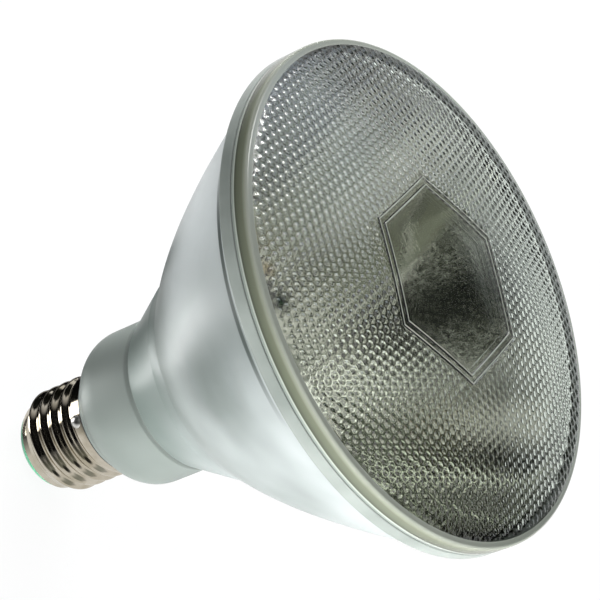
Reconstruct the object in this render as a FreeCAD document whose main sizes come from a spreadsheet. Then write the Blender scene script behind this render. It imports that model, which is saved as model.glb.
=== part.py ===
import FreeCAD, Part
import math
import os
import Sketcher

# Pressed glass reflector lamp on a skirted screw cap, in millimetres.
# The lamp's axis is Z, the origin is the tip of the centre contact, and the lens faces up.

Vector = FreeCAD.Vector
doc = FreeCAD.newDocument("reflector_lamp")

# Driving sizes: each step is measured from the piece that carries it, so that the rest follows a change.
sizes = {
    # Centre contact and its solder
    "solderTipRadius": 3.2,
    "solderTipDepth": 0.9,
    "contactRadius": 5.0,
    "contactSheet": 0.4,
    "eyeletRadius": 1.3,
    "eyeletTop": 5.0,
    # Glass insulator of the cap
    "insulatorFaceRadius": 5.6,
    "insulatorBulgeRadius": 8.7,
    "insulatorBulgeHeight": 2.5,
    "insulatorNeckRadius": 10.4,
    "insulatorNeckHeight": 4.2,
    "insulatorTop": 8.4,
    "insulatorWall": 1.6,
    "insulatorDishRadius": 6.5,
    # Screw shell, as a plain tube over the crests of its thread
    "shellSheet": 0.35,
    "shellRimRadius": 11.25,
    "shellRimHeight": 5.6,
    "shellRimTop": 7.0,
    "threadStart": 8.8,
    "threadCrestRadius": 13.2,
    "shellTop": 31.0,
    # Ring that keeps the skirt off the shell
    "ringInset": 0.8,
    "ringTall": 3.2,
    "ringWidth": 0.5,
    # Drawn skirt
    "skirtSheet": 0.5,
    "skirtLipRise": 0.6,
    "skirtNeckTall": 0.95,
    "skirtShoulderRadius": 9.7,
    "skirtRadius": 19.5,
    "skirtStraight": 10.4,
    "skirtCrimpRise": 0.6,
    "skirtCrimpDepth": 0.7,
    "skirtCrimpLip": 0.6,
    # Pressed glass reflector
    "heelInset": 4.1,
    "heelFloor": 4.0,
    "heelWellRadius": 13.0,
    "heelStepRise": 0.3,
    "heelOverhang": 0.2,
    "heelConeRise": 13.1,
    "ringEdgeRadius": 26.9,
    "ringEdgeStep": 1.0,
    "ringEdgeRise": 3.0,
    "bowlFocal": 13.62,
    "bowlWall": 3.37,
    "rimRadius": 61.0,
    "rimLip": 2.4,
    "rimUnderRise": 0.56,
    "rimBand": 3.4,
    "rimEdgeBevel": 0.7,
    "rimWall": 3.4,
    "mirrorLand": 1.0,
    # Pressed glass lens
    "lensRimBand": 3.3,
    "lensRimBevel": 1.5,
    "lensDomeRise": 7.5,
    "lensThickness": 3.0,
    "lensInnerBand": 1.7,
    # Raised double border of the plain six sided panel
    "panelRadius": 23.2,
    "panelBorderWidth": 0.8,
    "panelBorderGap": 1.1,
    "panelBorderDepth": 0.35,
    # Ferrules, posts and exhaust tube at the heel
    "ferruleOffset": 8.0,
    "ferruleRadius": 3.4,
    "ferruleSheet": 0.3,
    "ferruleDepth": 4.2,
    "postRadius": 0.8,
    "postHoleClearance": 0.6,
    "exhaustRadius": 2.8,
    "exhaustWall": 1.0,
    "exhaustLength": 8.0,
    "exhaustTaper": 3.0,
    "exhaustTipWall": 1.5,
    # Filament mount
    "coilRadius": 0.9,
    "coilLength": 12.4,
    "filamentWireRadius": 0.15,
    "beadDrop": 7.55,
    "beadRadius": 1.5,
    "beadOverhang": 2.0,
    "supportWireRadius": 0.2,
    "supportDepth": 1.0,
    # Lead wires below the heel
    "leadRadius": 0.4,
    "leadBendRadius": 1.6,
    "leadBendDrop": 1.3,
    "sleeveWall": 0.5,
    "sleeveGap": 4.0,
    # Side contact
    "sideContactAngle": -86.3,
    "sideContactDrop": 2.0,
    "sideSolderRadius": 1.9,
    "sideSolderProud": 0.8,
    # Small running clearances
    "wireClearance": 0.05,
    "heelClearance": 0.1,
}

sheet = doc.addObject("Spreadsheet::Sheet", "Sizes")
for row, (name, value) in enumerate(sizes.items(), start=1):
    sheet.set(f"A{row}", name)
    sheet.set(f"B{row}", str(value))
    sheet.setAlias(f"B{row}", name)
doc.recompute()


# A length that knows both its number now and the formula that keeps it tied to the sheet.
class Length:
    def __init__(self, value, formula):
        self.value = float(value)
        self.formula = formula

    def __add__(self, other):
        other = asLength(other)
        return Length(self.value + other.value, f"({self.formula} + {other.formula})")

    def __sub__(self, other):
        other = asLength(other)
        return Length(self.value - other.value, f"({self.formula} - {other.formula})")

    def __mul__(self, other):
        other = asLength(other)
        return Length(self.value * other.value, f"({self.formula} * {other.formula})")

    def __truediv__(self, other):
        other = asLength(other)
        return Length(self.value / other.value, f"({self.formula} / {other.formula})")

    def __neg__(self):
        return Length(-self.value, f"(0 - {self.formula})")


def asLength(number):
    return number if isinstance(number, Length) else Length(number, repr(float(number)))


def root(length):
    return Length(math.sqrt(length.value), f"sqrt({length.formula})")


def size(name):
    return Length(sizes[name], f"Sizes.{name}")


axis = asLength(0)


def bind(target, path, length):
    target.setExpression(path, length.formula)


# Bodies, planes and sketches
def newBody(label):
    body = doc.addObject("PartDesign::Body", label)
    body.Label = label
    return body


def newSketch(body, role, lift=None):
    sketch = body.newObject("Sketcher::SketchObject", body.Name + "_outline")
    plane = [feature for feature in body.Origin.OriginFeatures if feature.Role == role][0]
    sketch.AttachmentSupport = [(plane, "")]
    sketch.MapMode = "FlatFace"
    if lift is not None:
        sketch.AttachmentOffset = FreeCAD.Placement(Vector(0, 0, lift.value), FreeCAD.Rotation())
        bind(sketch, "AttachmentOffset.Base.z", lift)
    return sketch


def faceToSideContact(solid):
    turn = FreeCAD.Rotation(Vector(0, 0, 1), sizes["sideContactAngle"])
    solid.Placement = FreeCAD.Placement(Vector(0, 0, 0), turn)
    solid.setExpression("Placement.Rotation.Angle", "Sizes.sideContactAngle * 1deg")


# Outlines: each corner says how the edge that ends in it runs
def corner(across, up):
    return {"edge": "line", "across": asLength(across), "up": asLength(up)}


def arcTo(across, up, radius, bulge):
    # bulge is 1 where the arc swings to the left of its chord and -1 where it swings to the right
    return {"edge": "arc", "across": asLength(across), "up": asLength(up), "radius": radius, "bulge": bulge}


def bowlTo(start, end, vertex, focal, outward):
    # two arcs that follow a parabola about the axis; outward is 1 away from the axis and -1 towards it
    middle = (start + end) / 2
    return [bowlArc(start, middle, vertex, focal, outward), bowlArc(middle, end, vertex, focal, outward)]


def bowlArc(start, end, vertex, focal, outward):
    # the arc has the parabola's own radius of curvature half way along
    slope = (start + end) / (focal * 4)
    spread = slope * slope + 1
    return arcTo(end, vertex + end * end / (focal * 4), focal * 2 * spread * root(spread), -outward)


def spot(step):
    return Vector(step["across"].value, step["up"].value, 0)


def arcGeometry(start, end, radius, bulge):
    chord = end - start
    half = chord.Length / 2
    rise = math.sqrt(max(radius * radius - half * half, 0))
    left = Vector(-chord.y, chord.x, 0).normalize()
    centre = (start + end) * 0.5 - left * (bulge * rise)
    angles = [math.atan2(point.y - centre.y, point.x - centre.x) for point in (start, end)]
    if bulge > 0:
        angles.reverse()
    if angles[1] < angles[0]:
        angles[1] += 2 * math.pi
    return Part.ArcOfCircle(Part.Circle(centre, Vector(0, 0, 1), radius), angles[0], angles[1])


def edgeGeometry(before, step):
    start = spot(before)
    end = spot(step)
    if step["edge"] == "arc":
        return arcGeometry(start, end, step["radius"].value, step["bulge"])
    return Part.LineSegment(start, end)


def endAt(geometry, point):
    return 1 if (geometry.StartPoint - point).Length < (geometry.EndPoint - point).Length else 2


def holdAt(sketch, place, across, up):
    # ties one point of the sketch to its distances from the axis and from the origin
    if across is axis:
        sketch.addConstraint(Sketcher.Constraint("PointOnObject", *place, -2))
    else:
        index = sketch.addConstraint(Sketcher.Constraint("DistanceX", -1, 1, *place, across.value))
        bind(sketch, f"Constraints[{index}]", across)
    if up is axis:
        sketch.addConstraint(Sketcher.Constraint("PointOnObject", *place, -1))
    else:
        index = sketch.addConstraint(Sketcher.Constraint("DistanceY", -1, 1, *place, up.value))
        bind(sketch, f"Constraints[{index}]", up)


def holdRadius(sketch, edge, radius):
    index = sketch.addConstraint(Sketcher.Constraint("Radius", edge, radius.value))
    bind(sketch, f"Constraints[{index}]", radius)


def drawOutline(sketch, steps, closed=True):
    count = len(steps)
    first = 0 if closed else 1
    geometry = {i: edgeGeometry(steps[i - 1], steps[i]) for i in range(first, count)}
    edges = {i: sketch.addGeometry(geometry[i], False) for i in geometry}
    for i in geometry:
        place = (edges[i], endAt(geometry[i], spot(steps[i])))
        after = (i + 1) % count if closed else i + 1
        if after in geometry:
            following = (edges[after], endAt(geometry[after], spot(steps[i])))
            sketch.addConstraint(Sketcher.Constraint("Coincident", *place, *following))
        holdAt(sketch, place, steps[i]["across"], steps[i]["up"])
    if not closed:
        start = (edges[1], endAt(geometry[1], spot(steps[0])))
        holdAt(sketch, start, steps[0]["across"], steps[0]["up"])
    for i in geometry:
        if steps[i]["edge"] == "arc":
            holdRadius(sketch, edges[i], steps[i]["radius"])


def drawCircle(sketch, across, up, radius):
    circle = Part.Circle(Vector(across.value, up.value, 0), Vector(0, 0, 1), radius.value)
    edge = sketch.addGeometry(circle, False)
    holdAt(sketch, (edge, 3), across, up)
    holdRadius(sketch, edge, radius)


# Features
def turned(label, steps):
    body = newBody(label)
    sketch = newSketch(body, "XZ_Plane")
    drawOutline(sketch, steps)
    turn = body.newObject("PartDesign::Revolution", label + "_turn")
    turn.Profile = sketch
    turn.ReferenceAxis = (sketch, ["V_Axis"])
    turn.Angle = 360
    body.Tip = turn
    return body


def padded(body, role, lift, circles, length, midplane=False):
    sketch = newSketch(body, role, lift)
    for across, up, radius in circles:
        drawCircle(sketch, across, up, radius)
    pad = body.newObject("PartDesign::Pad", body.Name + "_pad")
    pad.Profile = sketch
    pad.Length = length.value
    pad.Midplane = midplane
    bind(pad, "Length", length)
    body.Tip = pad
    return pad


def bored(body, role, lift, circles, length, reverse=False, midplane=False):
    doc.recompute()
    before = body.Shape.Volume
    sketch = newSketch(body, role, lift)
    for across, up, radius in circles:
        drawCircle(sketch, across, up, radius)
    pocket = body.newObject("PartDesign::Pocket", body.Name + "_bore")
    pocket.Profile = sketch
    pocket.Length = length.value
    pocket.Reversed = reverse
    pocket.Midplane = midplane
    bind(pocket, "Length", length)
    body.Tip = pocket
    doc.recompute()
    if not body.Shape.Volume < before:
        raise RuntimeError(f"{body.Label}: the bore cuts nothing")
    return pocket


def wire(label, steps, radius):
    # a round wire along a path that starts straight down
    body = newBody(label)
    path = newSketch(body, "XZ_Plane")
    drawOutline(path, steps, closed=False)
    section = newSketch(body, "XY_Plane", steps[0]["up"])
    drawCircle(section, steps[0]["across"], axis, radius)
    doc.recompute()
    pipe = body.newObject("PartDesign::AdditivePipe", label + "_pipe")
    pipe.Profile = section
    pipe.Spine = (path, [f"Edge{i}" for i in range(1, len(steps))])
    body.Tip = pipe
    return body


def archRadius(chord, rise):
    # radius of an arc of half chord and rise that is level at its top
    return (chord * chord + rise * rise) / (rise * 2)


# Places that several pieces share
contactTop = size("solderTipDepth") + size("contactSheet")
eyeletBore = size("leadRadius") + size("wireClearance")
crest = size("threadCrestRadius")
shellBore = crest - size("shellSheet")
shellRimBore = size("shellRimRadius") - size("shellSheet")
ringTop = size("shellTop") - size("ringInset")
ringBottom = ringTop - size("ringTall")
sideContactHeight = ringBottom - size("sideContactDrop")
sideLeadEnd = crest + size("sideSolderProud") / 2

neckBore = crest + size("ringWidth")
skirtBore = size("skirtRadius") - size("skirtSheet")
skirtLip = ringBottom + size("skirtLipRise")
shoulderAxis = size("skirtRadius") - size("skirtShoulderRadius")


def shoulderDrop(neck, shoulder):
    # how far the rounded shoulder comes down from the straight wall before it meets a neck
    reach = neck - shoulderAxis
    return root(shoulder * shoulder - reach * reach)


shoulderFoot = skirtLip + size("skirtNeckTall")
shoulderEnd = shoulderFoot + shoulderDrop(neckBore + size("skirtSheet"), size("skirtShoulderRadius"))
innerShoulder = size("skirtShoulderRadius") - size("skirtSheet")
innerShoulderFoot = shoulderEnd - shoulderDrop(neckBore, innerShoulder)
crimpStart = shoulderEnd + size("skirtStraight")
crimpEnd = crimpStart + size("skirtCrimpRise")
crimpRadius = size("skirtRadius") - size("skirtCrimpDepth")
skirtTop = crimpEnd + size("skirtCrimpLip")

heelRadius = skirtBore - size("heelClearance")
grooveRadius = crimpRadius - size("skirtSheet") - size("heelClearance")
heelBottom = crimpStart - size("heelInset")
heelTop = heelBottom + size("heelFloor")
heelStepHeight = skirtTop + size("heelStepRise")
heelStepRadius = size("skirtRadius") + size("heelOverhang")
ringEdgeHeight = heelStepHeight + size("heelConeRise")

bowlStart = size("ringEdgeRadius") + size("ringEdgeStep")
bowlEnd = size("rimRadius") - size("rimLip")
bowlRise = bowlEnd * bowlEnd / (size("bowlFocal") * 4)
bowlVertex = ringEdgeHeight + size("ringEdgeRise") - bowlStart * bowlStart / (size("bowlFocal") * 4)
rimUnder = bowlVertex + bowlRise + size("rimUnderRise")
seam = rimUnder + size("rimBand")
mirrorEnd = size("rimRadius") - size("rimWall")
mirrorVertex = bowlVertex + size("bowlWall")
mirrorRise = bowlRise + size("rimUnderRise") + size("rimBand") - size("mirrorLand") - size("bowlWall")
mirrorFocal = mirrorEnd * mirrorEnd / (mirrorRise * 4)

lensShoulder = size("rimRadius") - size("lensRimBevel")
lensShoulderHeight = seam + size("lensRimBand") + size("lensRimBevel")
lensApex = lensShoulderHeight + size("lensDomeRise")
lensInnerCorner = seam + size("lensInnerBand")

ferruleBottom = heelBottom - size("ferruleDepth")
postBottom = ferruleBottom + size("ferruleSheet")
postHole = size("postRadius") + size("postHoleClearance")
exhaustBore = size("exhaustRadius") - size("exhaustWall")
coilHeight = mirrorVertex + mirrorFocal
beadHeight = coilHeight - size("beadDrop")
leadBendHeight = ferruleBottom - size("leadBendDrop")


# Screw cap
def makeContactSolder():
    depth = size("solderTipDepth")
    leadEnd = depth * 0.5
    return turned("contact_solder", [
        corner(axis, axis),
        arcTo(size("solderTipRadius"), depth, archRadius(size("solderTipRadius"), depth), -1),
        corner(size("leadRadius"), depth),
        corner(size("leadRadius"), leadEnd),
        corner(axis, leadEnd),
    ])


def makeCentreContact():
    return turned("centre_contact", [
        corner(eyeletBore, size("solderTipDepth")),
        corner(size("contactRadius"), size("solderTipDepth")),
        corner(size("contactRadius"), contactTop),
        corner(size("eyeletRadius"), contactTop),
        corner(size("eyeletRadius"), size("eyeletTop")),
        corner(eyeletBore, size("eyeletTop")),
    ])


def makeCapInsulator():
    wallInside = shellRimBore - size("insulatorWall")
    return turned("cap_insulator", [
        corner(size("eyeletRadius"), contactTop),
        corner(size("insulatorFaceRadius"), contactTop),
        corner(size("insulatorBulgeRadius"), size("insulatorBulgeHeight")),
        corner(size("insulatorNeckRadius"), size("insulatorNeckHeight")),
        corner(shellRimBore, size("shellRimHeight")),
        corner(shellRimBore, size("insulatorTop")),
        corner(wallInside, size("insulatorTop")),
        corner(size("insulatorDishRadius"), size("eyeletTop")),
        corner(size("eyeletRadius"), size("eyeletTop")),
    ])


def makeScrewShell():
    body = turned("screw_shell", [
        corner(size("shellRimRadius"), size("shellRimHeight")),
        corner(size("shellRimRadius"), size("shellRimTop")),
        corner(crest, size("threadStart")),
        corner(crest, size("shellTop")),
        corner(shellBore, size("shellTop")),
        corner(shellBore, size("threadStart")),
        corner(shellRimBore, size("shellRimTop")),
        corner(shellRimBore, size("shellRimHeight")),
    ])
    # the side lead comes out through the plain band
    bored(body, "YZ_Plane", axis + 0, [(axis, sideContactHeight, eyeletBore)], crest * 1.5, reverse=True)
    faceToSideContact(body)
    return body


def makeSkirtInsulator():
    return turned("skirt_insulator", [
        corner(crest, ringBottom),
        corner(neckBore, ringBottom),
        corner(neckBore, innerShoulderFoot),
        corner(crest, ringTop),
    ])


def makeSkirt():
    sheetMetal = size("skirtSheet")
    neck = neckBore + sheetMetal
    return turned("skirt", [
        corner(neck, skirtLip),
        corner(neck, shoulderFoot),
        arcTo(size("skirtRadius"), shoulderEnd, size("skirtShoulderRadius"), -1),
        corner(size("skirtRadius"), crimpStart),
        corner(crimpRadius, crimpEnd),
        corner(crimpRadius, skirtTop),
        corner(crimpRadius - sheetMetal, skirtTop),
        corner(crimpRadius - sheetMetal, crimpEnd),
        corner(skirtBore, crimpStart),
        corner(skirtBore, shoulderEnd),
        arcTo(neckBore, innerShoulderFoot, innerShoulder, 1),
        corner(neckBore, skirtLip),
    ])


# Glass envelope
def makeReflector():
    rim = size("rimRadius")
    body = turned("reflector", [
        corner(axis, heelBottom),
        corner(heelRadius, heelBottom),
        corner(heelRadius, crimpStart),
        corner(grooveRadius, crimpEnd),
        corner(grooveRadius, skirtTop + size("heelClearance")),
        corner(heelStepRadius, heelStepHeight),
        corner(size("ringEdgeRadius"), ringEdgeHeight),
        corner(bowlStart, ringEdgeHeight + size("ringEdgeRise")),
        *bowlTo(bowlStart, bowlEnd, bowlVertex, size("bowlFocal"), 1),
        corner(rim - size("rimEdgeBevel"), rimUnder),
        corner(rim, rimUnder + size("rimEdgeBevel")),
        corner(rim, seam),
        corner(mirrorEnd, seam),
        corner(mirrorEnd, seam - size("mirrorLand")),
        *bowlTo(mirrorEnd, size("heelWellRadius"), mirrorVertex, mirrorFocal, -1),
        corner(size("heelWellRadius"), heelTop),
        corner(axis, heelTop),
    ])
    bored(body, "XY_Plane", heelTop, [
        (size("ferruleOffset"), axis, postHole),
        (-size("ferruleOffset"), axis, postHole),
        (axis, axis, exhaustBore),
    ], size("heelFloor"))
    faceToSideContact(body)
    return body


def lensBlank():
    innerApex = lensApex - size("lensThickness")
    dome = archRadius(lensShoulder, size("lensDomeRise"))
    innerDome = archRadius(mirrorEnd, innerApex - lensInnerCorner)
    blank = turned("lens_blank", [
        corner(mirrorEnd, seam),
        corner(size("rimRadius"), seam),
        corner(size("rimRadius"), seam + size("lensRimBand")),
        corner(lensShoulder, lensShoulderHeight),
        arcTo(axis, lensApex, dome, -1),
        corner(axis, innerApex),
        arcTo(mirrorEnd, lensInnerCorner, innerDome, 1),
    ])
    return blank, dome


def placed(kind, name, sizesByName, across=None, up=None):
    solid = doc.addObject(kind, name)
    for path, length in sizesByName.items():
        setattr(solid, path, length.value)
        bind(solid, path, length)
    solid.Placement.Base = Vector(across.value if across else 0, 0, up.value if up else 0)
    if across:
        bind(solid, "Placement.Base.x", across)
    if up:
        bind(solid, "Placement.Base.z", up)
    return solid


def cutFrom(name, base, tool):
    result = doc.addObject("Part::Cut", name)
    result.Base = base
    result.Tool = tool
    return result


def sixSidedFrame(name, radius):
    # one raised line of the border, as a six sided tube that stands through the dome
    tall = size("lensThickness") * 6
    tubes = []
    for side, across in (("outside", radius), ("inside", radius - size("panelBorderWidth"))):
        tube = placed("Part::Prism", f"{name}_{side}", {"Circumradius": across, "Height": tall},
                      up=lensInnerCorner)
        tube.Polygon = 6
        tubes.append(tube)
    return cutFrom(name, *tubes)


def makeFrontLens():
    blank, dome = lensBlank()
    centre = lensApex - dome
    border = doc.addObject("Part::MultiFuse", "panel_border")
    innerLine = size("panelRadius")
    outerLine = innerLine + size("panelBorderWidth") + size("panelBorderGap")
    border.Shapes = [sixSidedFrame("border_inner", innerLine), sixSidedFrame("border_outer", outerLine)]
    over = placed("Part::Sphere", "border_top", {"Radius": dome + size("panelBorderDepth")}, up=centre)
    under = placed("Part::Sphere", "border_root", {"Radius": dome - size("panelBorderDepth")}, up=centre)
    raised = doc.addObject("Part::Common", "raised_border")
    raised.Base = cutFrom("border_band", over, under)
    raised.Tool = border
    lens = doc.addObject("Part::Fuse", "front_lens")
    lens.Base = blank
    lens.Tool = raised
    return lens


# Heel: ferrules, posts and exhaust tube
def makeFerrule(label, across):
    body = newBody(label)
    padded(body, "XY_Plane", ferruleBottom, [(across, axis, size("ferruleRadius"))], size("ferruleDepth"))
    bore = size("ferruleRadius") - size("ferruleSheet")
    bored(body, "XY_Plane", heelBottom, [(across, axis, bore)],
          size("ferruleDepth") - size("ferruleSheet"))
    faceToSideContact(body)
    return body


def makePost(label, across):
    body = newBody(label)
    postTop = coilHeight + size("postRadius")
    padded(body, "XY_Plane", postBottom, [(across, axis, size("postRadius"))], postTop - postBottom)
    faceToSideContact(body)
    return body


def makeExhaustTube():
    outer = size("exhaustRadius")
    tip = heelBottom - size("exhaustLength")
    innerTip = tip + size("exhaustTipWall")
    return turned("exhaust_tube", [
        corner(axis, tip),
        corner(outer, tip + size("exhaustTaper")),
        corner(outer, heelBottom),
        corner(exhaustBore, heelBottom),
        corner(exhaustBore, innerTip + size("exhaustTaper") * exhaustBore / outer),
        corner(axis, innerTip),
    ])


# Filament mount
def makeBridgeBead():
    body = newBody("bridge_bead")
    beadTop = beadHeight + size("beadRadius")
    length = (size("ferruleOffset") + size("beadOverhang")) * 2
    padded(body, "YZ_Plane", None, [(axis, beadHeight, size("beadRadius"))], length, midplane=True)
    bored(body, "XY_Plane", beadTop, [
        (size("ferruleOffset"), axis, size("postRadius")),
        (-size("ferruleOffset"), axis, size("postRadius")),
    ], size("beadRadius") * 2)
    bored(body, "XY_Plane", beadTop, [(axis, axis, size("supportWireRadius"))], size("supportDepth"))
    faceToSideContact(body)
    return body


def makeFilamentSupport():
    body = newBody("filament_support")
    foot = beadHeight + size("beadRadius") - size("supportDepth")
    length = coilHeight - size("coilRadius") - foot
    padded(body, "XY_Plane", foot, [(axis, axis, size("supportWireRadius"))], length)
    return body


def makeFilament():
    # the coiled wire is one round envelope here, with its two straight legs
    body = newBody("filament")
    legs = (size("ferruleOffset") - size("postRadius")) * 2
    padded(body, "YZ_Plane", None, [(axis, coilHeight, size("coilRadius"))],
           size("coilLength"), midplane=True)
    padded(body, "YZ_Plane", None, [(axis, coilHeight, size("filamentWireRadius"))],
           legs, midplane=True)
    faceToSideContact(body)
    return body


# Lead wires
halfBend = math.tan(math.pi / 8)
slant = math.sqrt(0.5)


def slantedRun(startAcross, endAcross, bendHeight):
    # two gentle bends of 45 degrees that carry a wire outwards or inwards on its way down
    reach = size("leadBendRadius") * halfBend
    drop = endAcross - startAcross
    endHeight = bendHeight - drop
    return [
        corner(startAcross, bendHeight + reach),
        arcTo(startAcross + reach * slant, bendHeight - reach * slant, size("leadBendRadius"), -1),
        corner(endAcross - reach * slant, endHeight + reach * slant),
        arcTo(endAcross, endHeight - reach, size("leadBendRadius"), 1),
    ]


def makeCentreLead():
    start = -size("ferruleOffset")
    path = [corner(start, ferruleBottom)]
    path += slantedRun(start, axis, leadBendHeight)
    path.append(corner(axis, size("solderTipDepth") * 0.5))
    body = wire("centre_lead", path, size("leadRadius"))
    faceToSideContact(body)
    return body


def makeSideLead():
    bend = size("leadBendRadius")
    start = size("ferruleOffset")
    body = wire("side_lead", [
        corner(start, ferruleBottom),
        corner(start, sideContactHeight + bend),
        arcTo(start + bend, sideContactHeight, bend, -1),
        corner(sideLeadEnd, sideContactHeight),
    ], size("leadRadius"))
    faceToSideContact(body)
    return body


def makeLeadSleeve():
    outer = eyeletBore + size("sleeveWall")
    top = leadBendHeight - size("ferruleOffset") - size("sleeveGap")
    return turned("lead_sleeve", [
        corner(eyeletBore, size("eyeletTop")),
        corner(outer, size("eyeletTop")),
        corner(outer, top),
        corner(eyeletBore, top),
    ])


def makeSideSolder():
    centre = crest + size("sideSolderProud") - size("sideSolderRadius")
    drop = placed("Part::Sphere", "solder_drop", {"Radius": size("sideSolderRadius")},
                  across=centre, up=sideContactHeight)
    band = placed("Part::Cylinder", "solder_seat", {"Radius": crest, "Height": size("shellTop")})
    lead = placed("Part::Cylinder", "solder_lead", {"Radius": size("leadRadius"), "Height": sideLeadEnd},
                  up=sideContactHeight)
    lead.Placement.Rotation = FreeCAD.Rotation(Vector(0, 1, 0), 90)
    solder = cutFrom("side_solder", cutFrom("solder_dome", drop, band), lead)
    faceToSideContact(solder)
    return solder


offset = size("ferruleOffset")
parts = [
    makeContactSolder(),
    makeCentreContact(),
    makeCapInsulator(),
    makeScrewShell(),
    makeSkirtInsulator(),
    makeSkirt(),
    makeReflector(),
    makeFrontLens(),
    makeFerrule("ferrule_side", offset),
    makeFerrule("ferrule_centre", -offset),
    makePost("post_side", offset),
    makePost("post_centre", -offset),
    makeExhaustTube(),
    makeBridgeBead(),
    makeFilamentSupport(),
    makeFilament(),
    makeCentreLead(),
    makeSideLead(),
    makeLeadSleeve(),
    makeSideSolder(),
]
doc.recompute()

# Every object has to be sound before any file is written
for item in doc.Objects:
    if "Invalid" in item.State or "Error" in item.State:
        raise RuntimeError(f"{item.Label} failed: {item.State}")
for item in parts:
    if item.Shape.isNull() or not item.Shape.isValid() or not item.Shape.Solids:
        raise RuntimeError(f"{item.Label} has no sound solid")
    print(item.Label, len(item.Shape.Solids), "solid", round(item.Shape.Volume, 2), "mm3")

os.makedirs("parts", exist_ok=True)
for item in parts:
    item.Shape.exportStep(f"parts/{item.Label}.step")
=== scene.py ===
import bpy
import bmesh
import math
from mathutils import Matrix, Vector


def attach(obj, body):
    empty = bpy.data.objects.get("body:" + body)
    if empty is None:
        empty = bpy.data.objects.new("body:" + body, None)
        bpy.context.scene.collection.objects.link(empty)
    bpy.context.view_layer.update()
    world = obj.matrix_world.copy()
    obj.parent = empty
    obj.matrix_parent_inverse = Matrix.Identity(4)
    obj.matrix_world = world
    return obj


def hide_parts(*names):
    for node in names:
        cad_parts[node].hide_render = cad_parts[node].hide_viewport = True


# Reflector spotlight lamp, in metres. Z is the lamp's axis and the tip of the cap is at the origin.
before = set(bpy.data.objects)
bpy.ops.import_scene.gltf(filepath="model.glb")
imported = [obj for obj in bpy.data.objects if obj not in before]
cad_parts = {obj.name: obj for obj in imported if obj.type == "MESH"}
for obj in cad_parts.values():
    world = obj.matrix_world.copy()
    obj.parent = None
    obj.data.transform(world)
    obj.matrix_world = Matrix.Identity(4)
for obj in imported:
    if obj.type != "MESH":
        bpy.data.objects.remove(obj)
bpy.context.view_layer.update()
mm = 0.001


# Small helpers
def linear(hexColour):
    channels = [int(hexColour[i:i + 2], 16) / 255 for i in (1, 3, 5)]
    return [c / 12.92 if c <= 0.04045 else ((c + 0.055) / 1.055) ** 2.4 for c in channels] + [1.0]


def addNode(tree, kind, links=(), stops=(), **settings):
    # links fill the inputs in order, or by name; each is an earlier node, one of its sockets or a plain value
    node = tree.nodes.new(kind)
    for name, value in settings.items():
        setattr(node, name, value)
    pairs = links.items() if isinstance(links, dict) else enumerate(links)
    for key, source in pairs:
        if isinstance(source, bpy.types.Node):
            source = source.outputs[0]
        if isinstance(source, bpy.types.NodeSocket):
            tree.links.new(source, node.inputs[key])
        else:
            node.inputs[key].default_value = source
    for index, (position, colour) in enumerate(stops):
        elements = node.color_ramp.elements
        element = elements[index] if index < 2 else elements.new(position)
        element.position = position
        element.color = linear(colour)
    return node


def newMaterial(name):
    material = bpy.data.materials.new(name)
    material.use_nodes = True
    material.node_tree.nodes.clear()
    return material, material.node_tree


def finishMaterial(material, tree, links):
    shader = addNode(tree, "ShaderNodeBsdfPrincipled", links)
    addNode(tree, "ShaderNodeOutputMaterial", {"Surface": shader})
    return material


def place(name, mesh, materials, stands, smoothAngle=40):
    # one finished piece at the origin, smooth where its faces bend gently
    piece = bpy.data.objects.new(name, mesh)
    bpy.context.collection.objects.link(piece)
    for material in materials:
        mesh.materials.append(material)
    mesh.shade_smooth()
    mesh.set_sharp_from_angle(angle=math.radians(smoothAngle))
    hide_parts(*stands)
    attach(piece, "root")


def rounded(outline, steps=5):
    # rounds the corners of an outline: each point is (radius, height) or (radius, height, rounding) in mm
    points = []
    count = len(outline)
    for i, point in enumerate(outline):
        here = Vector(point[:2])
        if len(point) < 3:
            points.append(here)
            continue
        before = Vector(outline[i - 1][:2]) - here
        after = Vector(outline[(i + 1) % count][:2]) - here
        half = before.angle(after) / 2
        reach = min(point[2] / math.tan(half), before.length * 0.48, after.length * 0.48)
        start = here + before.normalized() * reach
        end = here + after.normalized() * reach
        for k in range(steps + 1):
            along = k / steps
            points.append(start * (1 - along) ** 2 + here * 2 * along * (1 - along) + end * along ** 2)
    return points


def turned(name, outline, segments=192, paint=None):
    # turns a closed outline about the axis; paint picks the material of the faces that follow a point of it
    mesh = bpy.data.meshes.new(name)
    bm = bmesh.new()
    rings = []
    angles = [2 * math.pi * k / segments for k in range(segments)]
    for radius, height in outline:
        if radius < 1e-6:
            rings.append([bm.verts.new((0, 0, height * mm))] * segments)
            continue
        spots = [(radius * mm * math.cos(a), radius * mm * math.sin(a), height * mm) for a in angles]
        rings.append([bm.verts.new(spot) for spot in spots])
    for index, (low, high) in enumerate(zip(rings, rings[1:] + rings[:1])):
        for k in range(segments):
            corners = [low[k], low[(k + 1) % segments], high[(k + 1) % segments], high[k]]
            corners = [v for i, v in enumerate(corners) if v not in corners[:i]]
            if len(corners) > 2:
                face = bm.faces.new(corners)
                face.material_index = paint(index) if paint else 0
    bmesh.ops.recalc_face_normals(bm, faces=bm.faces)
    bm.to_mesh(mesh)
    bm.free()
    return mesh


def parabola(start, end, vertex, focal, count=24):
    radii = [start + (end - start) * k / count for k in range(count + 1)]
    return [(r, vertex + r * r / (4 * focal)) for r in radii]


def newGroup(name, values):
    # a geometry node group with a named input for each value and for the material; returns both ends of it
    tree = bpy.data.node_groups.new(name, "GeometryNodeTree")
    tree.interface.new_socket("Geometry", in_out="OUTPUT", socket_type="NodeSocketGeometry")
    for label, value in values.items():
        kind = "NodeSocketInt" if isinstance(value, int) else "NodeSocketFloat"
        tree.interface.new_socket(label, in_out="INPUT", socket_type=kind)
    tree.interface.new_socket("Material", in_out="INPUT", socket_type="NodeSocketMaterial")
    return tree, addNode(tree, "NodeGroupInput").outputs


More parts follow.
